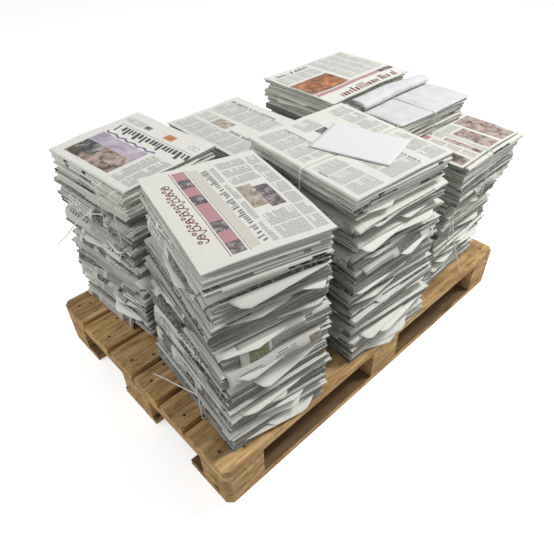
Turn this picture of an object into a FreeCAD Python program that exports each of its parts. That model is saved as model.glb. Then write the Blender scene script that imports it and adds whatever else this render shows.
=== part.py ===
import FreeCAD, Part
import math
import os
import random

os.makedirs("parts", exist_ok=True)

# Wooden pallet, in millimetres. Its long side runs along X, and Z = 0 is the ground.
PALLET_LENGTH = 1200.0
PALLET_WIDTH = 800.0
BOARD_THICKNESS = 22.0
BLOCK_HEIGHT = 78.0
BLOCK_LENGTH = 116.0
EDGE_BLOCK_WIDTH = 103.0
CENTRE_BLOCK_WIDTH = 130.0
BOTTOM_BOARD_WIDTH = 156.0
DECK_BOARD_WIDTHS = (155.0, 95.0, 107.0, 112.0, 126.0, 125.0)
CORNER_CHAMFER = 15.0

# Nails: a flat head on a square shank, in holes a little wider than the shank.
NAIL_HEAD_DIAMETER = 8.4
NAIL_HEAD_THICKNESS = 1.2
NAIL_SHANK = 3.6
NAIL_CLEARANCE = 0.4
LONG_NAIL = 85.0
SHORT_NAIL = 40.0
BOTTOM_NAIL = 50.0
COUNTERBORE_DEPTH = 2.4
HEAD_SEAT_DEPTH = 1.4
NAIL_HOLE_SPARE = 2.0

# Places of the nails, as shares of a block's length and of a board's width. Boards over a
# centre block and boards at the edge have theirs set toward the block.
BOARD_NAIL_SPOTS = ((-0.24, -0.2), (0.24, 0.2))
CENTRE_NAIL_SPOTS = ((-0.24, -0.12), (0.24, -0.34))
EDGE_NAIL_SPOTS = ((-0.24, 0.12), (0.2, 0.3), (0.02, 0.02))
BOTTOM_NAIL_SPOT = (0.36, -0.34)

# Newspapers. Each is folded once, so one long edge is a round fold and the other is open.
LAYER_THICKNESS = 14.0
TOP_NEWSPAPER_THICKNESS = 9.0
FOLD_NOSE = 4.0
OPEN_EDGE_STEP = 7.0
LAYER_SHIFT = 4.5
LAYER_TURN = 1.3
LAYER_TRIMS = (0.0, 0.0, 5.0, 10.0, 16.0)
BUNDLES_PER_STACK = 3
FIRST_LEAF_SEED = 41
LEVELS = ("lower_bundle", "middle_bundle", "upper_bundle", "top_newspaper")

# Small bundle with its curled cover. The place is from the middle of its cell, with a turn.
# Each section of the cover gives its place along the bundle, and its width, and how wide
# and how high its curl is there.
SMALL_BUNDLE_LENGTH = 312.0
SMALL_BUNDLE_WIDTH = 200.0
SMALL_BUNDLE_LAYER = 11.6
SMALL_BUNDLE_LAYERS = 5
SMALL_BUNDLE_PLACE = (2.0, 104.0, -3.0)
SMALL_BUNDLE_TIE = 8.0
COVER_THICKNESS = 9.0
COVER_SECTIONS = ((-157.0, 200.0, 74.0, 26.0), (0.0, 208.0, 66.0, 30.0), (168.0, 202.0, 52.0, 20.0))

# Blank sheet, placed from the middle of the top newspaper under it, with a turn.
SHEET_LENGTH = 210.0
SHEET_WIDTH = 148.0
SHEET_THICKNESS = 1.0
SHEET_PLACE = (19.0, -21.0, -74.0)

# String. A tie goes round some papers of one stack, at a distance from their middle.
# Where it has a loose end, the knot sits on the side that knot names, at that height.
STRING_DIAMETER = 3.0
STRING_CLEARANCE = 0.6
STRING_BEND = 3.0
LOOSE_BEND_SHARE = 0.45
CUT_MARGIN = 1.0
KNOT_DIAMETER = 6.4
TIES = (
    {"node": "near_stack_string", "stack": "near", "levels": ("lower_bundle",),
     "at": -70.0, "along_y": False, "knot": (-1, 250.0)},
    {"node": "left_stack_string_1", "stack": "left", "levels": ("upper_bundle",),
     "at": -80.0, "along_y": False, "knot": (-1, 536.0)},
    {"node": "left_stack_string_2", "stack": "left", "levels": ("upper_bundle",),
     "at": -138.0, "along_y": False, "knot": None},
    {"node": "middle_front_stack_string", "stack": "middle_front",
     "levels": ("upper_bundle", "top_newspaper"), "at": -10.0, "along_y": False, "knot": None},
    {"node": "far_front_stack_upper_string", "stack": "far_front",
     "levels": ("upper_bundle", "top_newspaper"), "at": 12.0, "along_y": True, "knot": None},
    {"node": "far_front_stack_middle_string", "stack": "far_front",
     "levels": ("middle_bundle",), "at": 112.0, "along_y": True, "knot": (-1, 379.0)},
)

# Loose ends of string, each from the middle of its knot.
LOOSE_ENDS = {
    "near_stack_string_end": ((-548, -243.5, 250), (-551, -196, 230), (-552, -146, 204),
                              (-551, -92, 176), (-553, -38, 146)),
    "left_stack_string_end": ((-492.5, 164.3, 536), (-503, 212, 522), (-514, 256, 492),
                              (-528, 294, 452), (-545, 330, 408), (-562, 374, 367)),
    "far_front_stack_string_end": ((303.4, -367.4, 379), (315, -373, 331), (334, -378, 283),
                                   (357, -382, 236), (380, -386, 190), (401, -389, 146)),
}

DECK_HEIGHT = 3 * BOARD_THICKNESS + BLOCK_HEIGHT
CELL_X = PALLET_LENGTH / 3.0
CELL_Y = PALLET_WIDTH / 4.0

# Each stack stands in one of the pallet's six cells. base and top give how far the
# lowest and the highest newspaper lie from the middle of the cell, and their turn.
# A higher bend keeps the lean for the upper part. upper_shift moves the upper bundle.
STACKS = {
    "near": {"cell": (-1, -1), "base": (12, -2, -6.0), "top": (65, 39, -15.0),
             "height": 506.0, "size": (296, 380), "bend": 1.0, "upper_shift": (0, 0)},
    "left": {"cell": (-1, 1), "base": (42, 48, 4.0), "top": (74, 62, 4.5),
             "height": 481.0, "size": (292, 340), "bend": 3.0, "upper_shift": (0, 0)},
    "middle_back": {"cell": (0, 1), "base": (20, 24, 0.0), "top": (20, 26, 0.5),
                    "height": 436.0, "size": (284, 364), "bend": 1.0, "upper_shift": (0, 0)},
    "middle_front": {"cell": (0, -1), "base": (22, -6, -3.0), "top": (24, 18, -4.5),
                     "height": 518.0, "size": (330, 384), "bend": 1.0, "upper_shift": (0, 0)},
    "far_back": {"cell": (1, 1), "base": (-2, 14, -1.0), "top": (9, -10, 1.0),
                 "height": 501.0, "size": (382, 298), "bend": 1.0, "upper_shift": (0, 0)},
    "far_front": {"cell": (1, -1), "base": (-8, 36, 1.5), "top": (34, 16, 0.0),
                  "height": 426.0, "size": (308, 366), "bend": 1.0, "upper_shift": (20, -12)},
}


def save(name, shape):
    shape.exportStep("parts/" + name + ".step")


def block(x0, x1, y0, y1, z0, z1):
    return Part.makeBox(x1 - x0, y1 - y0, z1 - z0, FreeCAD.Vector(x0, y0, z0))


def move(shape, x, y, z, turn):
    copy = shape.copy()
    copy.rotate(FreeCAD.Vector(0, 0, 0), FreeCAD.Vector(0, 0, 1), turn)
    copy.translate(FreeCAD.Vector(x, y, z))
    return copy


def prism(points, height):
    corners = [FreeCAD.Vector(x, y, z) for x, y, z in points]
    face = Part.Face(Part.makePolygon(corners + [corners[0]]))
    return face.extrude(FreeCAD.Vector(*height))


# Pallet. Boards and blocks first, then the corner chamfer and the nail holes.
half_l = PALLET_LENGTH / 2.0
half_w = PALLET_WIDTH / 2.0
row_x = (-half_l + BLOCK_LENGTH / 2.0, 0.0, half_l - BLOCK_LENGTH / 2.0)
row_y = (-half_w + EDGE_BLOCK_WIDTH / 2.0, 0.0, half_w - EDGE_BLOCK_WIDTH / 2.0)
bottom_y = (-half_w + BOTTOM_BOARD_WIDTH / 2.0, 0.0, half_w - BOTTOM_BOARD_WIDTH / 2.0)
block_widths = (EDGE_BLOCK_WIDTH, CENTRE_BLOCK_WIDTH, EDGE_BLOCK_WIDTH)
block_top = BOARD_THICKNESS + BLOCK_HEIGHT
cross_top = block_top + BOARD_THICKNESS
deck_gap = (PALLET_WIDTH - sum(DECK_BOARD_WIDTHS)) / (len(DECK_BOARD_WIDTHS) - 1)

wood = {}
deck_middles = []
edge = -half_w
for number, width in enumerate(DECK_BOARD_WIDTHS):
    name = "deck_board_" + str(number + 1)
    wood[name] = block(-half_l, half_l, edge, edge + width, cross_top, DECK_HEIGHT)
    deck_middles.append(edge + width / 2.0)
    edge = edge + width + deck_gap
for place, x in zip(("near", "middle", "far"), row_x):
    wood["cross_board_" + place] = block(x - BLOCK_LENGTH / 2.0, x + BLOCK_LENGTH / 2.0,
                                         -half_w, half_w, block_top, cross_top)
    for side, y, width in zip(("front", "centre", "back"), row_y, block_widths):
        wood["block_" + place + "_" + side] = block(
            x - BLOCK_LENGTH / 2.0, x + BLOCK_LENGTH / 2.0,
            y - width / 2.0, y + width / 2.0, BOARD_THICKNESS, block_top)
for side, y in zip(("front", "centre", "back"), bottom_y):
    wood["bottom_board_" + side] = block(-half_l, half_l, y - BOTTOM_BOARD_WIDTH / 2.0,
                                         y + BOTTOM_BOARD_WIDTH / 2.0, 0.0, BOARD_THICKNESS)


def nail(x, y, seat_z, length, down):
    start = seat_z if down else seat_z - NAIL_HEAD_THICKNESS
    head = Part.makeCylinder(NAIL_HEAD_DIAMETER / 2.0, NAIL_HEAD_THICKNESS,
                             FreeCAD.Vector(x, y, start))
    low = seat_z - length if down else seat_z
    shank = block(x - NAIL_SHANK / 2.0, x + NAIL_SHANK / 2.0,
                  y - NAIL_SHANK / 2.0, y + NAIL_SHANK / 2.0, low, low + length)
    return head.fuse(shank)


def nail_hole(x, y, seat_z, length, down):
    half = NAIL_SHANK / 2.0 + NAIL_CLEARANCE
    deep = length + NAIL_HOLE_SPARE
    low = seat_z - deep if down else seat_z
    shaft = block(x - half, x + half, y - half, y + half, low, low + deep)
    face_z = DECK_HEIGHT if down else 0.0
    seat = Part.makeCylinder(NAIL_HEAD_DIAMETER / 2.0 + NAIL_CLEARANCE, abs(face_z - seat_z),
                             FreeCAD.Vector(x, y, min(face_z, seat_z)))
    return shaft.fuse(seat)


nails = []
holes = []
for x in row_x:
    for number, y in enumerate(deck_middles):
        width = DECK_BOARD_WIDTHS[number]
        outer = number in (0, len(deck_middles) - 1)
        over_block = abs(y) < CENTRE_BLOCK_WIDTH / 2.0
        length = LONG_NAIL if outer or over_block else SHORT_NAIL
        out = 1.0
        spots = BOARD_NAIL_SPOTS
        if outer or over_block:
            out = -1.0 if y < 0 else 1.0
            spots = EDGE_NAIL_SPOTS if outer else CENTRE_NAIL_SPOTS
        for share_x, share_y in spots:
            dx = share_x * BLOCK_LENGTH
            dy = out * share_y * width
            seat_z = DECK_HEIGHT - HEAD_SEAT_DEPTH
            nails.append(nail(x + dx, y + dy, seat_z, length, True))
            holes.append(nail_hole(x + dx, y + dy, seat_z, length, True))
    for y in row_y:
        for side in (-1.0, 1.0):
            dx = side * BOTTOM_NAIL_SPOT[0] * BLOCK_LENGTH
            dy = side * BOTTOM_NAIL_SPOT[1] * EDGE_BLOCK_WIDTH
            nails.append(nail(x + dx, y + dy, COUNTERBORE_DEPTH, BOTTOM_NAIL, False))
            holes.append(nail_hole(x + dx, y + dy, COUNTERBORE_DEPTH, BOTTOM_NAIL, False))

corners = []
for sx in (-1.0, 1.0):
    for sy in (-1.0, 1.0):
        cx = sx * half_l
        cy = sy * half_w
        corners.append(prism([(cx, cy, 0), (cx - sx * CORNER_CHAMFER, cy, 0),
                              (cx, cy - sy * CORNER_CHAMFER, 0)], (0, 0, DECK_HEIGHT)))

for name, piece in wood.items():
    near = [tool for tool in corners + holes if piece.BoundBox.intersect(tool.BoundBox)]
    save(name, piece.cut(near).Solids[0] if near else piece)
save("nails", Part.makeCompound(nails))


# Newspapers. One layer is a folded newspaper seen as a block with a round fold on one
# long side and a stepped open edge on the other. Layers are turned end for end by turns.
def folded_newspaper(width, length, thickness, fold_on_left):
    side = -1.0 if fold_on_left else 1.0
    half = width / 2.0
    nose = min(FOLD_NOSE, thickness / 2.0)
    section = [(side * half, thickness * 0.5), (side * (half - nose), 0.0),
               (-side * (half - 0.4 * OPEN_EDGE_STEP), 0.0), (-side * half, thickness * 0.35),
               (-side * (half - OPEN_EDGE_STEP), thickness), (side * (half - nose), thickness)]
    points = [(x, -length / 2.0, z) for x, z in section]
    return prism(points, (0, length, 0))


def stack_pose(stack, z):
    base = stack["base"]
    top = stack["top"]
    share = ((z - DECK_HEIGHT) / stack["height"]) ** stack["bend"]
    x = stack["cell"][0] * CELL_X + base[0] + (top[0] - base[0]) * share
    y = stack["cell"][1] * CELL_Y + base[1] + (top[1] - base[1]) * share
    return x, y, base[2] + (top[2] - base[2]) * share


def lay_flat(width, length, thickness, fold_on_left):
    paper = folded_newspaper(min(width, length), max(width, length), thickness, fold_on_left)
    if width > length:
        paper.rotate(FreeCAD.Vector(0, 0, 0), FreeCAD.Vector(0, 0, 1), 90.0)
    return paper


def build_stack(stack, seed):
    leaf = random.Random(seed)
    width, length = stack["size"]
    pile = stack["height"] - TOP_NEWSPAPER_THICKNESS
    count = int(round(pile / LAYER_THICKNESS))
    weights = [leaf.uniform(0.75, 1.25) for layer in range(count)]
    scale = pile / sum(weights)
    per_bundle = int(math.ceil(count / float(BUNDLES_PER_STACK)))
    bundles = [[] for number in range(BUNDLES_PER_STACK)]
    z = DECK_HEIGHT
    for layer in range(count):
        thickness = weights[layer] * scale
        level = layer // per_bundle
        x, y, turn = stack_pose(stack, z)
        if level == BUNDLES_PER_STACK - 1:
            x = x + stack["upper_shift"][0]
            y = y + stack["upper_shift"][1]
        x = x + leaf.uniform(-LAYER_SHIFT, LAYER_SHIFT)
        y = y + leaf.uniform(-LAYER_SHIFT, LAYER_SHIFT)
        turn = turn + leaf.uniform(-LAYER_TURN, LAYER_TURN)
        trim = leaf.choice(LAYER_TRIMS)
        paper = lay_flat(width - trim, length - trim, thickness, (layer // 2) % 2 == 0)
        bundles[level].append(move(paper, x, y, z, turn))
        z = z + thickness
    fused = [papers[0].multiFuse(papers[1:]).Solids[0] for papers in bundles]
    x, y, turn = stack_pose(stack, z)
    top = lay_flat(width, length, TOP_NEWSPAPER_THICKNESS, False)
    return dict(zip(LEVELS, fused + [move(top, x, y, z, turn)]))


piles = {}
for number, name in enumerate(STACKS):
    piles[name] = build_stack(STACKS[name], FIRST_LEAF_SEED + number)


# Small bundle of newspapers folded once more, lying on the far front stack against the
# far back one. Its outermost newspaper is folded over it and curls up along one side.
bundle_x = CELL_X + SMALL_BUNDLE_PLACE[0]
bundle_y = -CELL_Y + SMALL_BUNDLE_PLACE[1]
bundle_turn = SMALL_BUNDLE_PLACE[2]
bundle_z = DECK_HEIGHT + STACKS["far_front"]["height"]
leaf = random.Random(FIRST_LEAF_SEED + len(STACKS))
papers = []
for layer in range(SMALL_BUNDLE_LAYERS):
    trim = leaf.choice(LAYER_TRIMS)
    paper = lay_flat(SMALL_BUNDLE_LENGTH - trim, SMALL_BUNDLE_WIDTH - trim,
                     SMALL_BUNDLE_LAYER, layer % 2 == 0)
    papers.append(move(paper, bundle_x + leaf.uniform(-LAYER_SHIFT, LAYER_SHIFT),
                       bundle_y + leaf.uniform(-LAYER_SHIFT, LAYER_SHIFT),
                       bundle_z + layer * SMALL_BUNDLE_LAYER,
                       bundle_turn + leaf.uniform(-LAYER_TURN, LAYER_TURN)))
small_bundle = papers[0].multiFuse(papers[1:]).Solids[0]
cover_z = bundle_z + SMALL_BUNDLE_LAYERS * SMALL_BUNDLE_LAYER


def curl_section(x, width, curl_width, curl_height):
    half = width / 2.0
    flat = COVER_THICKNESS
    start = half - curl_width
    return [(x, -half, 0.0), (x, half - 0.12 * curl_width, 0.0), (x, half, 0.25 * curl_height),
            (x, half - 0.03 * curl_width, flat + 0.55 * curl_height),
            (x, half - 0.22 * curl_width, flat + 0.9 * curl_height),
            (x, half - 0.5 * curl_width, flat + curl_height),
            (x, half - 0.78 * curl_width, flat + 0.7 * curl_height),
            (x, start, flat), (x, -half, flat)]


sections = []
for x, width, curl_width, curl_height in COVER_SECTIONS:
    points = [FreeCAD.Vector(*p) for p in curl_section(x, width, curl_width, curl_height)]
    sections.append(Part.makePolygon(points + [points[0]]))
cover = Part.makeLoft(sections, True, True)
cover = move(cover, bundle_x, bundle_y, cover_z, bundle_turn)


# Blank sheet on the top newspaper of the middle front stack.
stack = STACKS["middle_front"]
x, y, turn = stack_pose(stack, DECK_HEIGHT + stack["height"])
sheet = block(-SHEET_LENGTH / 2.0, SHEET_LENGTH / 2.0, -SHEET_WIDTH / 2.0, SHEET_WIDTH / 2.0,
              0.0, SHEET_THICKNESS)
save("blank_sheet", move(sheet, x + SHEET_PLACE[0], y + SHEET_PLACE[1],
                         DECK_HEIGHT + stack["height"], SHEET_PLACE[2]))


# Strings. Each is tied tightly round its bundle and has pressed itself into the top and
# the bottom paper, so its upper and lower runs lie in grooves.
def string_run(start, end):
    return Part.makeCylinder(STRING_DIAMETER / 2.0, (end - start).Length, start, end - start)


def string_bend(start, corner, end):
    """A piece of torus that leaves start toward the corner and arrives at end."""
    back = (corner - start).normalize()
    onward = (end - corner).normalize()
    turning = back.getAngle(onward)
    axis = back.cross(onward).normalize()
    radius = (corner - start).Length / math.tan(turning / 2.0)
    centre = start + axis.cross(back) * radius
    ring = Part.Face(Part.Wire([Part.makeCircle(STRING_DIAMETER / 2.0, start, back)]))
    return ring.revolve(centre, axis, math.degrees(turning))


def string_along(route, reaches, closed):
    """A string of straight runs joined by bends that start at a reach from each corner."""
    count = len(route)
    pieces = []
    start = route[0]
    if closed:
        start = route[0] + (route[1] - route[0]).normalize() * reaches[0]
    corners = list(range(1, count)) + [0] if closed else list(range(1, count - 1))
    for number in corners:
        corner = route[number]
        back = (corner - route[number - 1]).normalize()
        onward = (route[(number + 1) % count] - corner).normalize()
        reach = reaches[number]
        pieces.append(string_run(start, corner - back * reach))
        start = corner + onward * reach
        pieces.append(string_bend(corner - back * reach, corner, start))
    if not closed:
        pieces.append(string_run(start, route[-1]))
    return pieces[0].multiFuse(pieces[1:])


def string_loop(low_x, high_x, low_z, high_z):
    route = [FreeCAD.Vector(x, 0, z) for x, z in
             ((low_x, low_z), (high_x, low_z), (high_x, high_z), (low_x, high_z))]
    return string_along(route, [STRING_BEND] * 4, True)


def tie(papers, x, y, turn, at, along_y, knot, cover_top):
    """Returns the string round the papers, and the papers with its grooves cut."""
    if along_y:
        turn = turn + 90.0
    flat = [move(move(paper, -x, -y, 0, 0), 0, 0, 0, -turn) for paper in papers]
    room = STRING_DIAMETER / 2.0 + STRING_CLEARANCE
    box = Part.makeCompound(flat).BoundBox
    strip = block(box.XMin - CUT_MARGIN, box.XMax + CUT_MARGIN, at - room, at + room,
                  box.ZMin - CUT_MARGIN, box.ZMax + CUT_MARGIN)
    held = Part.makeCompound([paper.common(strip) for paper in flat]).BoundBox
    low_x = held.XMin - room
    high_x = held.XMax + room
    top_z = cover_top if cover_top else held.ZMax
    sink = STRING_DIAMETER / 2.0 + STRING_CLEARANCE / 3.0
    loop = string_loop(low_x, high_x, held.ZMin + sink, top_z - sink)
    loop.translate(FreeCAD.Vector(0, at, 0))
    if knot:
        side, knot_z = knot
        centre = (low_x if side < 0 else high_x) + side * STRING_DIAMETER
        loop = loop.fuse(Part.makeSphere(KNOT_DIAMETER / 2.0, FreeCAD.Vector(centre, at, knot_z)))
    deep = STRING_DIAMETER + 2.0 * STRING_CLEARANCE
    grooves = [block(low_x, high_x, at - room, at + room, held.ZMin - CUT_MARGIN,
                     held.ZMin + deep),
               block(low_x, high_x, at - room, at + room, top_z - deep, top_z + CUT_MARGIN)]
    cut = [paper.cut(Part.makeCompound(grooves)) for paper in flat]
    back = [move(move(shape, 0, 0, 0, turn), x, y, 0, 0) for shape in [loop] + cut]
    return back[0], back[1:]


for tying in TIES:
    pile = piles[tying["stack"]]
    papers = [pile[level] for level in tying["levels"]]
    box = Part.makeCompound(papers).BoundBox
    stack = STACKS[tying["stack"]]
    x, y, turn = stack_pose(stack, (box.ZMin + box.ZMax) / 2.0)
    loop, cut = tie(papers, x, y, turn, tying["at"], tying["along_y"], tying["knot"], None)
    pile.update(zip(tying["levels"], cut))
    save(tying["node"], loop)

loop, cut = tie([small_bundle, cover], bundle_x, bundle_y, bundle_turn, SMALL_BUNDLE_TIE,
                True, None, cover_z + COVER_THICKNESS)
save("small_bundle_string", loop)
save("small_bundle", cut[0])
save("small_bundle_cover", cut[1])

for name, pile in piles.items():
    for level in LEVELS:
        save(name + "_stack_" + level, pile[level])


def loose_end(name, points):
    """A loose end along its route. Prints its length, its bends and how full its tube is."""
    route = [FreeCAD.Vector(*point) for point in points]
    reaches = [0.0]
    radii = []
    length = sum((after - before).Length for before, after in zip(route, route[1:]))
    for before, corner, after in zip(route, route[1:], route[2:]):
        reach = LOOSE_BEND_SHARE * min((corner - before).Length, (after - corner).Length)
        turning = (corner - before).getAngle(after - corner)
        radius = reach / math.tan(turning / 2.0)
        length = length - 2.0 * reach + radius * turning
        reaches.append(reach)
        radii.append(round(radius, 1))
    tube = string_along(route, reaches, False)
    section = math.pi * (STRING_DIAMETER / 2.0) ** 2
    print(name, "length", round(length, 1), "bend radii", radii,
          "volume over section times length", round(tube.Volume / (section * length), 4))
    return tube


for name, points in LOOSE_ENDS.items():
    save(name, loose_end(name, points))
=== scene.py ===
import math
import random

import bpy
from mathutils import Matrix, Vector


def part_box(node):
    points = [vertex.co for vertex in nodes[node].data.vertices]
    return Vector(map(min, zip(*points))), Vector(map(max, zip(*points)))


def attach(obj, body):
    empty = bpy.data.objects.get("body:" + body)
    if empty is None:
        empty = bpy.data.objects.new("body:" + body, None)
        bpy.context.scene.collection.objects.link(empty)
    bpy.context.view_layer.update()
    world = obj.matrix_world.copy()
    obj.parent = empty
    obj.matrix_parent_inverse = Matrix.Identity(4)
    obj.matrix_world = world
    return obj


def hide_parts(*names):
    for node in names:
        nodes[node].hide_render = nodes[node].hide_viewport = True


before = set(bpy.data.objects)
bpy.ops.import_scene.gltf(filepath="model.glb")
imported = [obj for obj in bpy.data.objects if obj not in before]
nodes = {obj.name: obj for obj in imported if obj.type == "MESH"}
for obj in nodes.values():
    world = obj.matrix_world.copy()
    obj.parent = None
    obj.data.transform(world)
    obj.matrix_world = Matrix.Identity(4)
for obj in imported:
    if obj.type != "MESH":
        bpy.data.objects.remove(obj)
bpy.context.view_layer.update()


# Camera. It looks down on the near corner of the pallet, as the photograph does, with a
# small tilt to the left.
CAMERA_PLACE = Vector((-0.8998, -0.9098, 1.2381))
CAMERA_AIM = Vector((0.0737, 0.1406, 0.0))
CAMERA_TILT = math.radians(-1.273)
CAMERA_LENS = 33.12

camera_data = bpy.data.cameras.new("camera")
camera_data.sensor_fit = "HORIZONTAL"
camera_data.sensor_width = 36.0
camera_data.lens = CAMERA_LENS
camera = bpy.data.objects.new("camera", camera_data)
bpy.context.scene.collection.objects.link(camera)
forward = (CAMERA_AIM - CAMERA_PLACE).normalized()
level = forward.cross(Vector((0, 0, 1))).normalized()
upright = level.cross(forward)
camera_right = math.cos(CAMERA_TILT) * level + math.sin(CAMERA_TILT) * upright
camera_up = math.cos(CAMERA_TILT) * upright - math.sin(CAMERA_TILT) * level
turned = Matrix((camera_right, camera_up, -forward)).transposed().to_4x4()
camera.matrix_world = Matrix.Translation(CAMERA_PLACE) @ turned
bpy.context.scene.camera = camera


# Loose ends of string. Each hangs from the knot of its tie: thin two-ply sisal twine with
# a hard twist, cut off bare. The twine's finish serves the tied strings too.
TWINE_DIAMETER = 0.003
TWINE_COLOUR = (0.93, 0.915, 0.86)
TWINE_SHADE = (0.86, 0.84, 0.77)
TWIST_DEPTH = 0.0006
LOOSE_ENDS = {
    "near_stack_string_end": (
        (-0.548, -0.2435, 0.250), (-0.551, -0.196, 0.230), (-0.552, -0.146, 0.204),
        (-0.551, -0.092, 0.176), (-0.553, -0.038, 0.146)),
    "left_stack_string_end": (
        (-0.4925, 0.1643, 0.536), (-0.503, 0.212, 0.522), (-0.514, 0.256, 0.492),
        (-0.528, 0.294, 0.452), (-0.545, 0.330, 0.408), (-0.562, 0.374, 0.367)),
    "far_front_stack_string_end": (
        (0.3034, -0.3674, 0.379), (0.315, -0.373, 0.331), (0.334, -0.378, 0.283),
        (0.357, -0.382, 0.236), (0.380, -0.386, 0.190), (0.401, -0.389, 0.146)),
}


def feed(tree, node, inputs):
    """Set a node's inputs to values, or link them to other nodes' outputs."""
    for name, value in inputs.items():
        if isinstance(value, bpy.types.NodeSocket):
            tree.links.new(value, node.inputs[name])
        else:
            node.inputs[name].default_value = value


def add_node(tree, kind, inputs, **settings):
    """A node with its settings, such as the operation, and its inputs fed."""
    node = tree.nodes.new(kind)
    for name, value in settings.items():
        setattr(node, name, value)
    feed(tree, node, inputs)
    return node


def new_material(name, roughness, specular=0.5):
    """A material with only its Principled shader, and that material's node tree."""
    material = bpy.data.materials.new(name)
    material.use_nodes = True
    tree = material.node_tree
    shader = tree.nodes["Principled BSDF"]
    feed(tree, shader, {"Roughness": roughness, "Specular IOR Level": specular})
    return material, tree, shader


def texture_at(tree, kind, stretch, scale, offset=(0, 0, 0), **settings):
    """A texture node read in the object's own metres, stretched along the three axes."""
    place = add_node(tree, "ShaderNodeTexCoord", {})
    fit = add_node(tree, "ShaderNodeMapping", {"Vector": place.outputs["Object"],
                                               "Scale": stretch, "Location": offset})
    return add_node(tree, kind, {"Vector": fit.outputs["Vector"], "Scale": scale, **settings})


def opaque(colour):
    """A colour with its alpha, from three parts or from one grey."""
    parts = (colour, colour, colour) if isinstance(colour, float) else colour
    return (*parts, 1.0)


def ramp_of(tree, factor, *stops):
    """The colours of a ramp fed by factor, with (position, colour) stops."""
    ramp = add_node(tree, "ShaderNodeValToRGB", {"Fac": factor})
    band = ramp.color_ramp
    for element, (position, colour) in zip(band.elements, (stops[0], stops[-1])):
        element.position = position
        element.color = opaque(colour)
    for position, colour in stops[1:-1]:
        band.elements.new(position).color = opaque(colour)
    return ramp.outputs["Color"]


def mix_of(tree, factor, below, above, blend="MIX"):
    """One colour laid over another by a factor."""
    mix = add_node(tree, "ShaderNodeMixRGB", {"Fac": factor, "Color1": below, "Color2": above},
                   blend_type=blend)
    return mix.outputs["Color"]


def map_of(tree, value, limits):
    """A value carried over from one range to another."""
    spread = add_node(tree, "ShaderNodeMapRange", {"Value": value, **limits})
    return spread.outputs["Result"]


def bump_from(tree, height, distance, shader, strength=1.0):
    """Bump of a depth in metres, from a texture's height, into the shader."""
    bump = add_node(tree, "ShaderNodeBump", {"Distance": distance, "Strength": strength,
                                             "Height": height})
    feed(tree, shader, {"Normal": bump.outputs["Normal"]})


def noise_material(name, roughness, stretch, scale, stops, **settings):
    """A material coloured by noise through a ramp, with what bump can be made from."""
    material, tree, shader = new_material(name, roughness)
    noise = texture_at(tree, "ShaderNodeTexNoise", stretch, scale, **settings)
    feed(tree, shader, {"Base Color": ramp_of(tree, noise.outputs["Fac"], *stops)})
    return material, tree, shader, noise.outputs["Fac"]


def new_piece(name, data):
    """A visible piece that rides on the one body."""
    piece = bpy.data.objects.new(name, data)
    bpy.context.scene.collection.objects.link(piece)
    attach(piece, "root")
    return piece


def finish_node(name, material):
    """Give a piece of the frame its material."""
    nodes[name].data.materials.clear()
    nodes[name].data.materials.append(material)


EVEN = (1.0, 1.0, 1.0)
twine, tree, shader = new_material("sisal_twine", 0.9)
twist = texture_at(tree, "ShaderNodeTexWave", EVEN, 190.0, Distortion=1.5)
twist.wave_type = "BANDS"
twist.bands_direction = "DIAGONAL"
# The darker bands of the twist are painted shade in the grooves between the plies; the paler
# bands are the twine's own colour.
shade = ramp_of(tree, twist.outputs["Fac"], (0.15, TWINE_SHADE), (0.6, TWINE_COLOUR))
feed(tree, shader, {"Base Color": shade})
bump_from(tree, twist.outputs["Fac"], TWIST_DEPTH, shader)

for name, route in LOOSE_ENDS.items():
    path = bpy.data.curves.new(name, "CURVE")
    path.dimensions = "3D"
    path.bevel_depth = TWINE_DIAMETER / 2
    path.bevel_resolution = 3
    path.resolution_u = 10
    path.use_fill_caps = True
    line = path.splines.new("NURBS")
    line.points.add(len(route) - 1)
    for point, place in zip(line.points, route):
        point.co = (*place, 1.0)
    line.order_u = 3
    line.use_endpoint_u = True
    path.materials.append(twine)
    end = new_piece("hanging_" + name, path)
    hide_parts(name)

for name in nodes:
    if "string" in name and name not in LOOSE_ENDS:
        finish_node(name, twine)


# Pallet boards and blocks. Rough-sawn softwood, weathered and dirty, each with its own run
# of grain: deck and bottom boards and blocks along the pallet, cross boards across it.
WOOD_LIGHT = (0.84, 0.60, 0.325)
WOOD_MID = (0.60, 0.375, 0.16)
WOOD_DARK = (0.27, 0.145, 0.055)
WOOD_STAIN = (0.14, 0.08, 0.035)
WOOD_KNOT = (0.10, 0.05, 0.022)
WOOD_SPLIT = (0.035, 0.02, 0.012)
WOOD_UNDER_DECK_SHADE = (0.12, 0.075, 0.04)
BLOCK_TONE = -0.10
SAW_DEPTH = 0.0007
BOTTOM_BOARD_HEIGHT = 0.022


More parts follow.
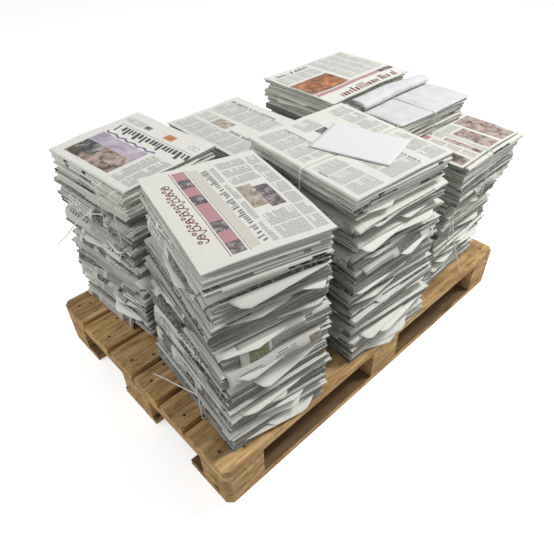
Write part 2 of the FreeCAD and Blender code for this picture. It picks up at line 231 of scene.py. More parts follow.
def sawn_wood(name, across, seed):
    """Softwood with its grain along X, or along Y when it lies across the pallet.

    A bottom board's upper face is darkened with painted shade, the shadow of the deck above it."""
    pick = random.Random(seed)
    offset = (pick.uniform(0, 9), pick.uniform(0, 9), pick.uniform(0, 9))
    board_tone = pick.uniform(-0.06, 0.06)
    if name.startswith("block"):
        board_tone = BLOCK_TONE
    material, tree, shader = new_material(name, 0.82, 0.25)

    def along_grain(kind, run, width, out="Fac", **settings):
        stretch = (1 / width, 1 / run, 1 / width) if across else (1 / run, 1 / width, 1 / width)
        return texture_at(tree, kind, stretch, 1.0, offset, **settings).outputs[out]

    streaks = along_grain("ShaderNodeTexNoise", 0.28, 0.016, Detail=7.0, Roughness=0.72)
    figure = ramp_of(tree, streaks, (0.28, WOOD_DARK), (0.47, WOOD_MID), (0.68, WOOD_LIGHT))
    mottle = along_grain("ShaderNodeTexNoise", 0.045, 0.018, Detail=5.0, Roughness=0.7)
    patches = ramp_of(tree, mottle, (0.32, (0.52, 0.46, 0.38)), (0.50, (0.96, 0.93, 0.88)),
                      (0.66, 1.0))
    colour = mix_of(tree, 1.0, figure, patches, "MULTIPLY")
    dirt = along_grain("ShaderNodeTexNoise", 0.22, 0.07, Detail=4.0, Roughness=0.6)
    stains = ramp_of(tree, dirt, (0.50 + board_tone, 0.0), (0.78, 0.75))
    colour = mix_of(tree, stains, colour, opaque(WOOD_STAIN))
    rings = along_grain("ShaderNodeTexVoronoi", 0.30, 0.10, "Distance")
    knots = ramp_of(tree, rings, (0.07, 0.9), (0.12, 0.35), (0.17, 0.0))
    colour = mix_of(tree, knots, colour, opaque(WOOD_KNOT))
    grain = along_grain("ShaderNodeTexNoise", 0.30, 0.006, Detail=1.0)
    splits = ramp_of(tree, grain, (0.26, 1.0), (0.31, 0.0))
    colour = mix_of(tree, splits, colour, opaque(WOOD_SPLIT))
    # A bottom board's upper face gets painted shade: the shadow the deck casts on it, mixed in
    # as a darker colour.
    if name.startswith("bottom_board"):
        where = add_node(tree, "ShaderNodeTexCoord", {})
        height = add_node(tree, "ShaderNodeSeparateXYZ", {"Vector": where.outputs["Object"]})
        upper = map_of(tree, height.outputs["Z"], {"From Min": BOTTOM_BOARD_HEIGHT - 0.0015,
                                                   "From Max": BOTTOM_BOARD_HEIGHT - 0.0005,
                                                   "To Max": 0.85})
        colour = mix_of(tree, upper, colour, opaque(WOOD_UNDER_DECK_SHADE))
    feed(tree, shader, {"Base Color": colour})
    saw_marks = along_grain("ShaderNodeTexNoise", 0.03, 0.0016, Detail=3.0)
    bump_from(tree, saw_marks, SAW_DEPTH, shader)
    return material


for number, name in enumerate(sorted(nodes)):
    if name.startswith(("deck_board", "cross_board", "bottom_board", "block")):
        finish_node(name, sawn_wood(name + "_wood", name.startswith("cross_board"), number))


# Nails. Plain steel wire nails, driven until the heads sit a little under the wood, with
# the brown rust of a pallet that has stood outside.
RUST = ((0.35, (0.045, 0.03, 0.024)), (0.55, (0.10, 0.055, 0.032)), (0.75, (0.19, 0.17, 0.15)))
rusty, tree, shader, rust = noise_material("rusty_nail", 0.6, EVEN, 420.0, RUST, Detail=4.0)
feed(tree, shader, {"Metallic": 0.35})
bump_from(tree, rust, 0.0002, shader)
finish_node("nails", rusty)


# Stacks. Six piles of folded newspapers, tied in bundles. Each paper is folded once, so it
# has one round long side and three sides of loose page edges, and lies a little askew.
PALLET_LENGTH = 1.2
PALLET_WIDTH = 0.8
DECK_HEIGHT = 0.144
CELL_X = PALLET_LENGTH / 3
CELL_Y = PALLET_WIDTH / 4
LAYER_THICKNESS = 0.014
TOP_THICKNESS = 0.009
LAYER_SHIFT = 0.0045
LAYER_TURN = 1.3
LAYER_TRIMS = (0.0, 0.0, 0.005, 0.010, 0.016)
BUNDLES_PER_STACK = 3
FIRST_LEAF_SEED = 41
LEVELS = ("lower_bundle", "middle_bundle", "upper_bundle")
STACKS = {
    "near": {"cell": (-1, -1), "base": (0.012, -0.002, -6.0), "top": (0.065, 0.039, -15.0),
             "height": 0.506, "size": (0.296, 0.380)},
    "left": {"cell": (-1, 1), "base": (0.042, 0.048, 4.0), "top": (0.074, 0.062, 4.5),
             "height": 0.481, "size": (0.292, 0.340), "bend": 3.0},
    "middle_back": {"cell": (0, 1), "base": (0.020, 0.024, 0.0), "top": (0.020, 0.026, 0.5),
                    "height": 0.436, "size": (0.284, 0.364)},
    "middle_front": {"cell": (0, -1), "base": (0.022, -0.006, -3.0),
                     "top": (0.024, 0.018, -4.5), "height": 0.518, "size": (0.330, 0.384)},
    "far_back": {"cell": (1, 1), "base": (-0.002, 0.014, -1.0), "top": (0.009, -0.010, 1.0),
                 "height": 0.501, "size": (0.382, 0.298)},
    "far_front": {"cell": (1, -1), "base": (-0.008, 0.036, 1.5), "top": (0.034, 0.016, 0.0),
                  "height": 0.426, "size": (0.308, 0.366), "upper_shift": (0.020, -0.012)},
}

PAPERS_PER_LAYER = 3
TOP_LAYERS = 4
TOP_PAPERS_PER_LAYER = 2
EDGE_SPACING = 0.018
CORNER_CUT = 0.002
PAGE_MARGIN = 0.022
WALL_LEVELS = (0.0, 0.5, 1.0)
CAP_LEVELS = (0.0, 0.2, 0.5, 0.8, 1.0)
FOLD_ROUND = 0.0032
PAGE_THICKNESS = 0.0004
LINE_STRETCH = (7.0, 7.0, 0.0)
LINES_PER_METRE = 1400.0
SPECK_TONE = (0.46, 0.45, 0.41)
WHITE_PAGE = (0.775, 0.775, 0.715)
# The edge grey is the grey of packed page edges, deepened with painted shade so that the walls
# of page edges come out darker than the tops.
GREY_EDGE_AND_SHADE = (0.27, 0.272, 0.238)
HANGING_PAGE = (0.66, 0.665, 0.61)
LEAF_STEPS = 12
HANGING_ROWS = 11
LAYING_SEED = 100
PRINT_TONES = ((0.03, 0.03, 0.03), (0.05, 0.048, 0.045), (0.09, 0.085, 0.08),
               (0.15, 0.145, 0.14), (0.24, 0.23, 0.22), (0.36, 0.35, 0.33),
               (0.06, 0.055, 0.045), (0.11, 0.085, 0.065), (0.13, 0.16, 0.05),
               (0.17, 0.12, 0.085), (0.12, 0.10, 0.085), (0.26, 0.23, 0.21))
# How each stack is laid: how much of its folds and hanging pages is dark print, how many
# papers come in a batch, how far the hanging pages drop and how far page corners stick out.
# The top folds face side 3 where no other side is given.
HABITS = {
    "near": {"print": 0.95, "batch": (9, 15), "drop": (0.022, 0.070), "reach": 0.030},
    "left": {"print": 0.85, "batch": (5, 9), "drop": (0.014, 0.040), "reach": 0.020},
    "middle_back": {"print": 0.35, "batch": (8, 14), "drop": (0.015, 0.045), "reach": 0.020},
    "middle_front": {"print": 0.80, "batch": (6, 12), "drop": (0.014, 0.045), "reach": 0.030},
    "far_back": {"print": 0.30, "batch": (7, 14), "drop": (0.014, 0.040), "reach": 0.022},
    "far_front": {"print": 0.45, "batch": (6, 12), "drop": (0.014, 0.040), "reach": 0.024},
}
TOP_FOLD_SIDE = {"left": 2, "far_back": 2}
# Where strings run down the sides of a bundle: the side, and how far along it.
TIED_AT = {
    ("near", 0): ((0, -0.070), (2, 0.070)),
    ("left", 2): ((0, -0.080), (2, 0.080), (0, -0.138), (2, 0.138)),
    ("middle_front", 2): ((0, -0.010), (2, 0.010)),
    ("far_front", 2): ((1, 0.012), (3, -0.012)),
    ("far_front", 1): ((1, 0.112), (3, -0.112)),
}


def shaded(tone, amount):
    return tuple(value * amount for value in tone)


def between(low, high, share):
    return tuple(a + (b - a) * share for a, b in zip(low, high))


def paper_outline(width, length):
    """Points round a paper with their outward normals and sides. 0 and 2 are the long ones."""
    half_w = width / 2
    half_l = length / 2
    corners = [(half_w, -half_l), (half_w, half_l), (-half_w, half_l), (-half_w, -half_l)]
    normals = [(1, 0), (0, 1), (-1, 0), (0, -1)]
    points = []
    for side in range(4):
        start = Vector(corners[side])
        run = Vector(corners[(side + 1) % 4]) - start
        count = max(2, round(run.length / EDGE_SPACING))
        for number in range(count + 1):
            share = min(max(number / count, CORNER_CUT / run.length),
                        1 - CORNER_CUT / run.length)
            points.append((start + run * share, Vector(normals[side]), side))
    return points


class Pile:
    """The mesh of one bundle as it is laid up, with its tones and page heights."""

    def __init__(self):
        self.points = []
        self.heights = []
        self.faces = []
        self.tones = []
        self.edges = []
        self.smooth = []

    def ring(self, points, height):
        first = len(self.points)
        self.points.extend(points)
        self.heights.extend([height] * len(points))
        return list(range(first, first + len(points)))

    def face(self, corners, tone, edge, smooth=False):
        self.faces.append(corners)
        self.tones.append(tone)
        self.edges.append(edge)
        self.smooth.append(smooth)

    def band(self, low, high, tones, edges):
        count = len(low)
        for number in range(count):
            after = (number + 1) % count
            corners = (low[number], low[after], high[after], high[number])
            self.face(corners, tones[number], edges[number])

    def sheet(self, rows, back, tones):
        """One loose page over a grid of points, with its rear set off by back."""
        front = [self.ring(row, 0.0) for row in rows]
        rear = [self.ring([point + back for point in row], 0.0) for row in rows]
        last = len(rows[0]) - 1
        for row in range(len(rows) - 1):
            for at in range(last):
                tone = tones[row][at]
                self.face((front[row][at], front[row + 1][at], front[row + 1][at + 1],
                           front[row][at + 1]), tone, 0.0, True)
                self.face((rear[row][at + 1], rear[row + 1][at + 1], rear[row + 1][at],
                           rear[row][at]), tone, 0.0, True)
            for at, order in ((0, 1), (last, -1)):
                corners = (front[row][at], rear[row][at], rear[row + 1][at], front[row + 1][at])
                self.face(corners[::order], tones[row][min(at, last - 1)], 0.0)
        for row, order in ((0, -1), (len(rows) - 1, 1)):
            for at in range(last):
                corners = (front[row][at], rear[row][at], rear[row][at + 1], front[row][at + 1])
                self.face(corners[::order], tones[min(row, len(rows) - 2)][at], 0.0)

    def piece(self, name, material):
        mesh = bpy.data.meshes.new(name)
        mesh.from_pydata(self.points, [], self.faces)
        tones = []
        edges = []
        for number, face in enumerate(self.faces):
            tones.extend((*self.tones[number], 1.0) * len(face))
            edges.extend([self.edges[number]] * len(face))
        tone = mesh.attributes.new("tone", "FLOAT_COLOR", "CORNER")
        tone.data.foreach_set("color", tones)
        edge = mesh.attributes.new("edge", "FLOAT", "CORNER")
        edge.data.foreach_set("value", edges)
        page = mesh.attributes.new("page", "FLOAT", "POINT")
        page.data.foreach_set("value", self.heights)
        mesh.polygons.foreach_set("use_smooth", self.smooth)
        mesh.materials.append(material)
        mesh.update()
        return new_piece(name, mesh)


class Seam:
    """Where two batches meet: their common tilt, and a gap that opens towards one side."""

    def __init__(self, hand, tilt, gap):
        self.tilt = (hand.uniform(-tilt, tilt), hand.uniform(-tilt, tilt))
        self.gap = hand.uniform(0.2, 1.0) * gap
        opens = hand.uniform(0, 2 * math.pi)
        self.run = (math.cos(opens), math.sin(opens))

    def rise(self, x, y, above):
        opening = self.gap * max(0.0, 0.5 + (x * self.run[0] + y * self.run[1]) / 0.38)
        return self.tilt[0] * x + self.tilt[1] * y + (opening if above else -opening) / 2


class Batch:
    """Papers that came from the press together: they bend, sag and lie askew together."""

    def __init__(self, hand, size, under, over, sag):
        self.size = size
        self.under = under
        self.over = over
        self.sags = [hand.uniform(0, sag) for side in range(4)]
        self.phases = [hand.uniform(0, 2 * math.pi) for wave in range(3)]
        self.inset = (hand.uniform(0.001, 0.013), hand.uniform(0.001, 0.012))
        self.shift = (hand.uniform(-0.004, 0.004), hand.uniform(-0.004, 0.004))
        self.turn = hand.uniform(-1.3, 1.3)
        self.top = False
        # How far this batch's page edges take the edge grey and its painted shade.
        self.edge_grey_and_shade = hand.uniform(0.60, 1.0)
        self.caps = hand.choice((1, 2, 3, 4))

    def lift(self, x, y, half_w, half_l, share):
        """How far a paper lies above or below flat. Its share is its place in the batch."""
        rise = self.under.rise(x, y, True) * (1 - share) + self.over.rise(x, y, False) * share
        wave = math.sin(x * 29 + self.phases[0]) + math.sin(y * 21 + self.phases[1])
        rise = rise + 0.0006 * share * (wave + 0.6 * math.sin((x - y) * 55 + self.phases[2]))
        gaps = (half_w - x, half_l - y, half_w + x, half_l + y)
        for sag, gap in zip(self.sags, gaps):
            rise = rise - sag * share * math.exp(-max(gap, 0.0) / 0.030)
        return rise


def fold_tones(outline, hand, base, print_share):
    """Tones along the fold, where the outer page's print wraps round it."""
    tones = []
    left = 0
    for point, normal, side in outline:
        if left <= 0:
            tone = base
            left = hand.randint(1, 6)
            if hand.random() < print_share:
                tone = hand.choice(PRINT_TONES[:6])
                left = hand.randint(1, 5)
        left = left - 1
        tones.append(tone)
    return tones


def lay_paper(pile, hand, place, size, thickness, fold_side, edge_grey_and_shade, batch, share, print_share):
    """One folded newspaper in the pile, at place, with the fold on side 0 or 2."""
    width, length = size
    levels = CAP_LEVELS if edge_grey_and_shade < 0.5 else WALL_LEVELS
    height_start = hand.uniform(0, 1)
    outline = paper_outline(width, length)
    spread = hand.uniform(0.5, 1.4)
    lean = hand.uniform(-0.0014, 0.0022)
    corner_lifts = [hand.uniform(-0.0026, 0.0012) for corner in range(4)]
    base = shaded(WHITE_PAGE, hand.uniform(0.92, 1.06))
    # The paper's sides are mixed towards the edge grey with its painted shade; cap papers take
    # almost none of it and keep white edges.
    side_tone = between(base, shaded(GREY_EDGE_AND_SHADE, hand.uniform(0.85, 1.15)), edge_grey_and_shade)
    folds = fold_tones(outline, hand, between(base, side_tone, 0.5), print_share)

    def lift(x, y):
        rise = batch.lift(x, y, width / 2, length / 2, share)
        for number, (sx, sy) in enumerate(((1, -1), (1, 1), (-1, 1), (-1, -1))):
            gap = math.hypot(x - sx * width / 2, y - sy * length / 2)
            rise = rise + corner_lifts[number] * math.exp(-(gap / 0.05) ** 2)
        return rise

    rings = []
    for level in levels:
        points = []
        for point, normal, side in outline:
            if side == fold_side:
                inset = min(FOLD_ROUND, thickness / 2) * (2 * level - 1) ** 2
            else:
                fan = abs(level - 0.45) * (0.007 if side in (0, 2) else 0.0034)
                inset = max(fan * spread + lean * level + hand.uniform(0, 0.0008), 0.0)
            at = point - normal * inset
            points.append(place @ Vector((at.x, at.y, thickness * level + lift(at.x, at.y))))
        rings.append(pile.ring(points, height_start + thickness * level))

    def inner(level):
        shrink_w = 1 - 2 * PAGE_MARGIN / width
        shrink_l = 1 - 2 * PAGE_MARGIN / length
        spots = [(point.x * shrink_w, point.y * shrink_l) for point, normal, side in outline]
        points = [place @ Vector((x, y, thickness * level + lift(x, y))) for x, y in spots]
        return pile.ring(points, height_start + thickness * level)

    top = inner(1.0)
    bottom = inner(0.0)
    edges = [0.25 if side == fold_side else 1.0 for point, normal, side in outline]
    plain = [0.0] * len(outline)
    for low, high in zip(rings, rings[1:]):
        tones = []
        for spot, (point, normal, side) in enumerate(outline):
            if side == fold_side:
                tones.append(folds[spot])
            else:
                tones.append(shaded(side_tone, hand.uniform(0.86, 1.08)))
        pile.band(low, high, tones, edges)
    pile.band(rings[-1], top, [base] * len(outline), plain)
    pile.band(bottom, rings[0], [base] * len(outline), plain)
    pile.face(top, base, 0.0)
    pile.face(bottom[::-1], base, 0.0)


def facing(side):
    """The turn that brings +X to face out of a side of a paper."""
    return Matrix.Rotation(math.radians(90 * side), 4, "Z")


def halves(size, side):
    """From a paper's middle out to a side, and from that side's middle to its ends."""
    width, length = size
    return (width / 2, length / 2) if side in (0, 2) else (length / 2, width / 2)


def printed_tones(hand, columns, rows, base, print_share):
    """Tones for a page that hangs out: margins, lines of text, headlines and pictures."""
    tones = [[base] * columns for row in range(rows)]
    column = hand.randint(0, 4)
    while column < columns:
        wide = hand.randint(5, 16)
        kind = hand.random() * 0.9 / (0.45 + print_share)
        picture = hand.choice(PRINT_TONES)
        first = hand.randint(1, max(1, rows // 2))
        for row in range(first, rows):
            for place in range(column, min(column + wide, columns)):
                if kind < 0.36:
                    tones[row][place] = between(picture, base, hand.uniform(0.0, 0.30))
                elif kind < 0.62 and row % 2 == 0 and hand.random() < 0.85:
                    tones[row][place] = between(base, PRINT_TONES[3], 0.75)
                elif 0.62 <= kind < 0.76 and row < first + 2 and place % 2 == 0:
                    tones[row][place] = PRINT_TONES[0]
        column = column + wide + hand.randint(1, 4)
    return tones


def lay_leaf(pile, hand, place, size, side, batch, share, tied, height, furthest, habit):
    """A page corner that has slipped out of the pile and hangs down a little."""
    out_half, run_half = halves(size, side)
    reach = hand.uniform(0.008, furthest)
    span = hand.uniform(max(0.06, 5 * reach), 0.24)
    middle = hand.uniform(-run_half + span / 2, run_half - span / 2)
    if any(at_side == side and abs(middle - at) < span / 2 + 0.008 for at_side, at in tied):
        return
    droop = reach * hand.uniform(0.35, 0.95)
    peak = hand.choice((0.12, 0.2, 0.5, 0.8, 0.88))
    # Slipped corners are painted brighter than the pages in the pile: a painted highlight where
    # they catch the light.
    tone = shaded(WHITE_PAGE, hand.uniform(1.02, 1.16))
    turn = facing(side)
    rows = []
    tones = [[tone] * LEAF_STEPS for row in range(5)]
    if side in (0, 2) and hand.random() < habit["print"] * 0.7:
        tones = printed_tones(hand, LEAF_STEPS, 5, tone, habit["print"])
    for out in (-0.028, -0.006, 0.25, 0.6, 0.85, 1.0):
        row = []
        for number in range(LEAF_STEPS + 1):
            part = number / LEAF_STEPS
            grow = 0.06 + 0.94 * min(part / peak, (1 - part) / (1 - peak)) ** 0.7
            along = middle + span * (part - 0.5)
            tip = reach * out * grow if out > 0 else out
            at = turn @ Vector((out_half - 0.002 + tip, along, 0))
            z = batch.lift(at.x, at.y, size[0] / 2, size[1] / 2, share) + height
            z = z - droop * (max(tip, 0.0) / reach) ** 1.6
            row.append(place @ Vector((at.x, at.y, z)))
        rows.append(row)
    pile.sheet(rows, Vector((0, 0, -PAGE_THICKNESS)), tones)


def hang_page(pile, hand, place, size, side, batch, share, tied, height, room, habit):
    """An outer page that has slumped over the side of the pile and hangs down it."""
    out_half, run_half = halves(size, side)
    span = 2 * run_half * hand.uniform(0.55, 0.97)
    slack = run_half - span / 2
    middle = hand.uniform(-slack, slack)
    reach = room * hand.uniform(0.6, 1.0)
    drop = hand.uniform(*habit["drop"])
    slant = hand.choice((-1, 1)) * hand.uniform(0.2, 0.75)
    phase = hand.uniform(0, 2 * math.pi)
    turn = facing(side)
    columns = round(span / 0.007)
    base = shaded(HANGING_PAGE, hand.uniform(0.82, 1.06))
    tones = printed_tones(hand, columns, HANGING_ROWS, base, habit["print"])
    lines = []
    for row in range(HANGING_ROWS + 1):
        fall = max(row - 2, 0) / (HANGING_ROWS - 2)
        points = []
        for column in range(columns + 1):
            part = column / columns
            along = middle + span * (part - 0.5)
            long_drop = drop * (1 - abs(slant) * (part if slant > 0 else 1 - part))
            out = reach * (1 - (1 - fall) ** 2.5)
            out = out + 0.0016 * fall * math.sin(along * 47 + phase)
            for at_side, at in tied:
                if at_side == side:
                    out = out * (1 - math.exp(-((along - at) / 0.018) ** 2))
            if row < 2:
                out = (-0.024, -0.008)[row]
            at = turn @ Vector((out_half + out - 0.001, along, 0))
            z = batch.lift(at.x, at.y, size[0] / 2, size[1] / 2, share) + height
            z = z - long_drop * fall ** 1.25
            points.append(place @ Vector((at.x, at.y, z)))
        lines.append(points)
    inward = place.to_3x3() @ (turn.to_3x3() @ Vector((-PAGE_THICKNESS, 0, -PAGE_THICKNESS)))
    pile.sheet(lines, inward, tones)


def stack_pose(stack, z):
    share = ((z - DECK_HEIGHT) / stack["height"]) ** stack.get("bend", 1.0)
    base = stack["base"]
    top = stack["top"]
    x = stack["cell"][0] * CELL_X + base[0] + (top[0] - base[0]) * share
    y = stack["cell"][1] * CELL_Y + base[1] + (top[1] - base[1]) * share
    return x, y, base[2] + (top[2] - base[2]) * share


def lying(x, y, z, turn, wide):
    """Where a paper lies. A wide one has its long sides across the stack."""
    degrees = turn + (90.0 if wide else 0.0)
    return Matrix.Translation((x, y, z)) @ Matrix.Rotation(math.radians(degrees), 4, "Z")


def mesh_value(tree, name):
    """A node that reads what the pile's mesh carries under a name."""
    return add_node(tree, "ShaderNodeAttribute", {}, attribute_name=name)


newsprint, tree, shader = new_material("newsprint", 0.85, 0.2)
tone = mesh_value(tree, "tone").outputs["Color"]
page = mesh_value(tree, "page").outputs["Fac"]
edge = mesh_value(tree, "edge").outputs["Fac"]
place = add_node(tree, "ShaderNodeTexCoord", {})
flat_place = add_node(tree, "ShaderNodeVectorMath",
                      {0: place.outputs["Object"], 1: LINE_STRETCH}, operation="MULTIPLY")
leaf_height = add_node(tree, "ShaderNodeMath", {0: page, 1: LINES_PER_METRE},
                       operation="MULTIPLY")
leaf_place = add_node(tree, "ShaderNodeCombineXYZ", {"Z": leaf_height.outputs["Value"]})
line_place = add_node(tree, "ShaderNodeVectorMath", {0: flat_place.outputs["Vector"],
                                                     1: leaf_place.outputs["Vector"]},
                      operation="ADD")
page_lines = add_node(tree, "ShaderNodeTexNoise", {"Scale": 1.0, "Detail": 2.0,
                                                   "Vector": line_place.outputs["Vector"]})
dark_line = ramp_of(tree, page_lines.outputs["Fac"], (0.40, (0.20, 0.20, 0.18)), (0.52, 1.0))
lined = mix_of(tree, edge, tone, dark_line, "MULTIPLY")
specks = texture_at(tree, "ShaderNodeTexNoise", EVEN, 130.0, Detail=3.0)
pale_specks = ramp_of(tree, specks.outputs["Fac"], (0.50, 0.0), (0.60, 1.0))
depth = add_node(tree, "ShaderNodeRGBToBW", {"Color": tone})
dark_print = map_of(tree, depth.outputs["Val"], {"From Min": 0.02, "From Max": 0.30,
                                                 "To Min": 0.75, "To Max": 0.0})
speck_share = add_node(tree, "ShaderNodeMath", {0: dark_print, 1: pale_specks},
                       operation="MULTIPLY")
speckled = mix_of(tree, speck_share.outputs["Value"], lined, opaque(SPECK_TONE))
feed(tree, shader, {"Base Color": speckled})
bump_from(tree, page_lines.outputs["Fac"], 0.0003, shader, 0.6)

for number, name in enumerate(STACKS):
    stack = STACKS[name]
    habit = HABITS[name]
    leaf = random.Random(FIRST_LEAF_SEED + number)
    hand = random.Random(LAYING_SEED + number)
    width, length = stack["size"]
    wide = width > length
    pile_height = stack["height"] - TOP_THICKNESS
    count = round(pile_height / LAYER_THICKNESS)
    weights = [leaf.uniform(0.75, 1.25) for layer in range(count)]
    scale = pile_height / sum(weights)
    per_bundle = math.ceil(count / BUNDLES_PER_STACK)
    piles = [Pile() for level in LEVELS]
    z = DECK_HEIGHT
    seam = Seam(hand, 0.030, 0.010)
    batch = Batch(hand, hand.randint(*habit["batch"]), Seam(hand, 0.0, 0.0), seam, 0.006)
    in_batch = 0
    for layer in range(count):
        thickness = weights[layer] * scale
        bundle = layer // per_bundle
        tied = TIED_AT.get((name, bundle), ())
        x, y, turn = stack_pose(stack, z)
        if bundle == BUNDLES_PER_STACK - 1:
            shift_x, shift_y = stack.get("upper_shift", (0, 0))
            x = x + shift_x
            y = y + shift_y
        x = x + leaf.uniform(-LAYER_SHIFT, LAYER_SHIFT)
        y = y + leaf.uniform(-LAYER_SHIFT, LAYER_SHIFT)
        turn = turn + leaf.uniform(-LAYER_TURN, LAYER_TURN)
        trim = leaf.choice(LAYER_TRIMS)
        fold_side = 2 if (layer // 2) % 2 == 0 else 0
        short = min(width, length) - trim
        long = max(width, length) - trim
        on_top = layer >= count - TOP_LAYERS
        papers = TOP_PAPERS_PER_LAYER if on_top else PAPERS_PER_LAYER
        for part in range(papers):
            if on_top and not batch.top:
                under = Seam(hand, 0.010, 0.008)
                batch = Batch(hand, TOP_LAYERS * papers, under, Seam(hand, 0.0, 0.0), 0.002)
                batch.caps = batch.size
                batch.top = True
                in_batch = 0
            elif in_batch >= batch.size:
                under = seam
                seam = Seam(hand, 0.040, 0.016)
                batch = Batch(hand, hand.randint(*habit["batch"]), under, seam, 0.008)
                in_batch = 0
            share = (in_batch + 0.5) / batch.size
            capped = in_batch >= batch.size - batch.caps
            cut_x = batch.inset[0] + hand.uniform(0, 0.003)
            cut_y = batch.inset[1] + hand.uniform(0, 0.003)
            askew = 0.0 if tied or on_top else 1.0
            shift = 0.0015
            fold = fold_side
            edge_grey_and_shade = batch.edge_grey_and_shade
            fill = 0.97
            if capped:
                cut_x = hand.uniform(0.0, 0.007)
                cut_y = hand.uniform(0.0, 0.007)
                shift = 0.003
                top_fold = TOP_FOLD_SIDE.get(name, 3)
                fold = top_fold if on_top else hand.choice((fold_side, top_fold, 3))
                # Cap papers keep white edges, with almost no edge grey or painted shade.
                edge_grey_and_shade = 0.05
                fill = 0.78
            paper = thickness / papers
            size = (short - cut_x, long - cut_y)
            place = lying(x + askew * batch.shift[0] + hand.uniform(-shift, shift),
                          y + askew * batch.shift[1] + hand.uniform(-shift, shift),
                          z + part * paper,
                          turn + askew * batch.turn + hand.uniform(-0.5, 0.5), wide)
            lay_paper(piles[bundle], hand, place, size, paper * fill, fold, edge_grey_and_shade, batch, share,
                      habit["print"] * (0.3 if on_top else 1.0))
            loose = 0.10 if on_top else 0.30 if capped else 0.08
            furthest = 0.014 if on_top else habit["reach"]
            for side in range(4):
                if hand.random() < loose:
                    lay_leaf(piles[bundle], hand, place, size, side, batch, share, tied,
                             paper * fill + 0.0003, furthest, habit)
            if in_batch == batch.size - 1 and not on_top:
                for side in range(4):
                    likely = 0.85 if side == (1 if wide else 2) else 0.2
                    room = 0.003 if (name, bundle) == ("near", 0) else 0.012
                    if hand.random() < likely:
                        hang_page(piles[bundle], hand, place, size, side, batch, share, tied,
                                  paper * fill + 0.0005, room, habit)
            in_batch = in_batch + 1
        z = z + thickness
    for pile, level in zip(piles, LEVELS):
        piece = pile.piece(name + "_papers_" + level, newsprint)
        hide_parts(name + "_stack_" + level)


# Front pages. The top paper of each stack lies with a page up: black and coloured ink on
# newsprint, in columns of text, rows of headline and a few pictures, folded along one side.
TOP_SHEET = 0.0034
TOP_PAPER_SEED = 200
PAGE_SEED = 300
TOP_PAPERS = 2
GRID_CELL = 0.009
INK_LIFT = 0.0002
TEXT_PITCH = 0.0033
TEXT_HEIGHT = 0.0015
SHORTEST_WORD = 0.003
WORD_SPACE = 0.0016
STRING_ROOM = 0.011
FIELD_CELL = 0.010
RINGLET_SIDES = 14
STRING_DIP = 0.0034
STRING_PRESS = 0.005


def ink(name, colour):
    """Printing ink, uneven where the paper's fibres show through it."""
    worn = tuple(value + (0.6 - value) * 0.35 for value in colour)
    stops = ((0.40, colour), (0.80, worn))
    return noise_material(name, 0.75, EVEN, 800.0, stops, Detail=2.0)[0]


def picture(name, size, *colours):
    """A printed picture that shows only soft patches of a few colours."""
    stops = [(0.32 + 0.38 * number / (len(colours) - 1), colour)
             for number, colour in enumerate(colours)]
    return noise_material(name, 0.7, (1, 1, 0.2), 1 / size, stops, Detail=4.0, Roughness=0.6,
                          Distortion=0.8)[0]


INKS = {
    "text": ink("text_ink", (0.17, 0.17, 0.17)),
    "fine": ink("fine_ink", (0.29, 0.29, 0.28)),
    "faint": ink("faint_ink", (0.40, 0.40, 0.38)),
    "black": ink("black_ink", (0.035, 0.035, 0.04)),
    "red": ink("dark_red_ink", (0.20, 0.035, 0.045)),
    "pink": ink("pink_ink", (0.50, 0.24, 0.27)),
    "tint": ink("cream_tint", (0.66, 0.63, 0.54)),
    "violet": ink("violet_ink", (0.17, 0.14, 0.28)),
    "orange": ink("orange_ink", (0.62, 0.22, 0.07)),
    "dusk": picture("dusk_picture", 0.045, (0.05, 0.045, 0.08), (0.13, 0.10, 0.07),
                    (0.36, 0.27, 0.22), (0.58, 0.44, 0.42)),
    "meadow": picture("meadow_picture", 0.030, (0.12, 0.09, 0.06), (0.30, 0.23, 0.17),
                      (0.46, 0.36, 0.33), (0.58, 0.48, 0.47)),
    "evening": picture("evening_picture", 0.060, (0.34, 0.30, 0.40), (0.52, 0.45, 0.52),
                       (0.66, 0.58, 0.60)),
    "harbour": picture("harbour_picture", 0.030, (0.03, 0.035, 0.07), (0.12, 0.13, 0.10),
                       (0.40, 0.40, 0.44)),
    "street": picture("street_picture", 0.016, (0.05, 0.045, 0.05), (0.20, 0.17, 0.18),
                      (0.52, 0.46, 0.46)),
    "sand": picture("sand_picture", 0.020, (0.26, 0.21, 0.15), (0.46, 0.40, 0.32),
                    (0.64, 0.61, 0.56)),
    "amber": picture("amber_picture", 0.035, (0.16, 0.07, 0.04), (0.42, 0.17, 0.08),
                     (0.64, 0.32, 0.16)),
    "market": picture("market_picture", 0.022, (0.09, 0.07, 0.06), (0.30, 0.22, 0.18),
                      (0.50, 0.40, 0.36), (0.62, 0.42, 0.40)),
}


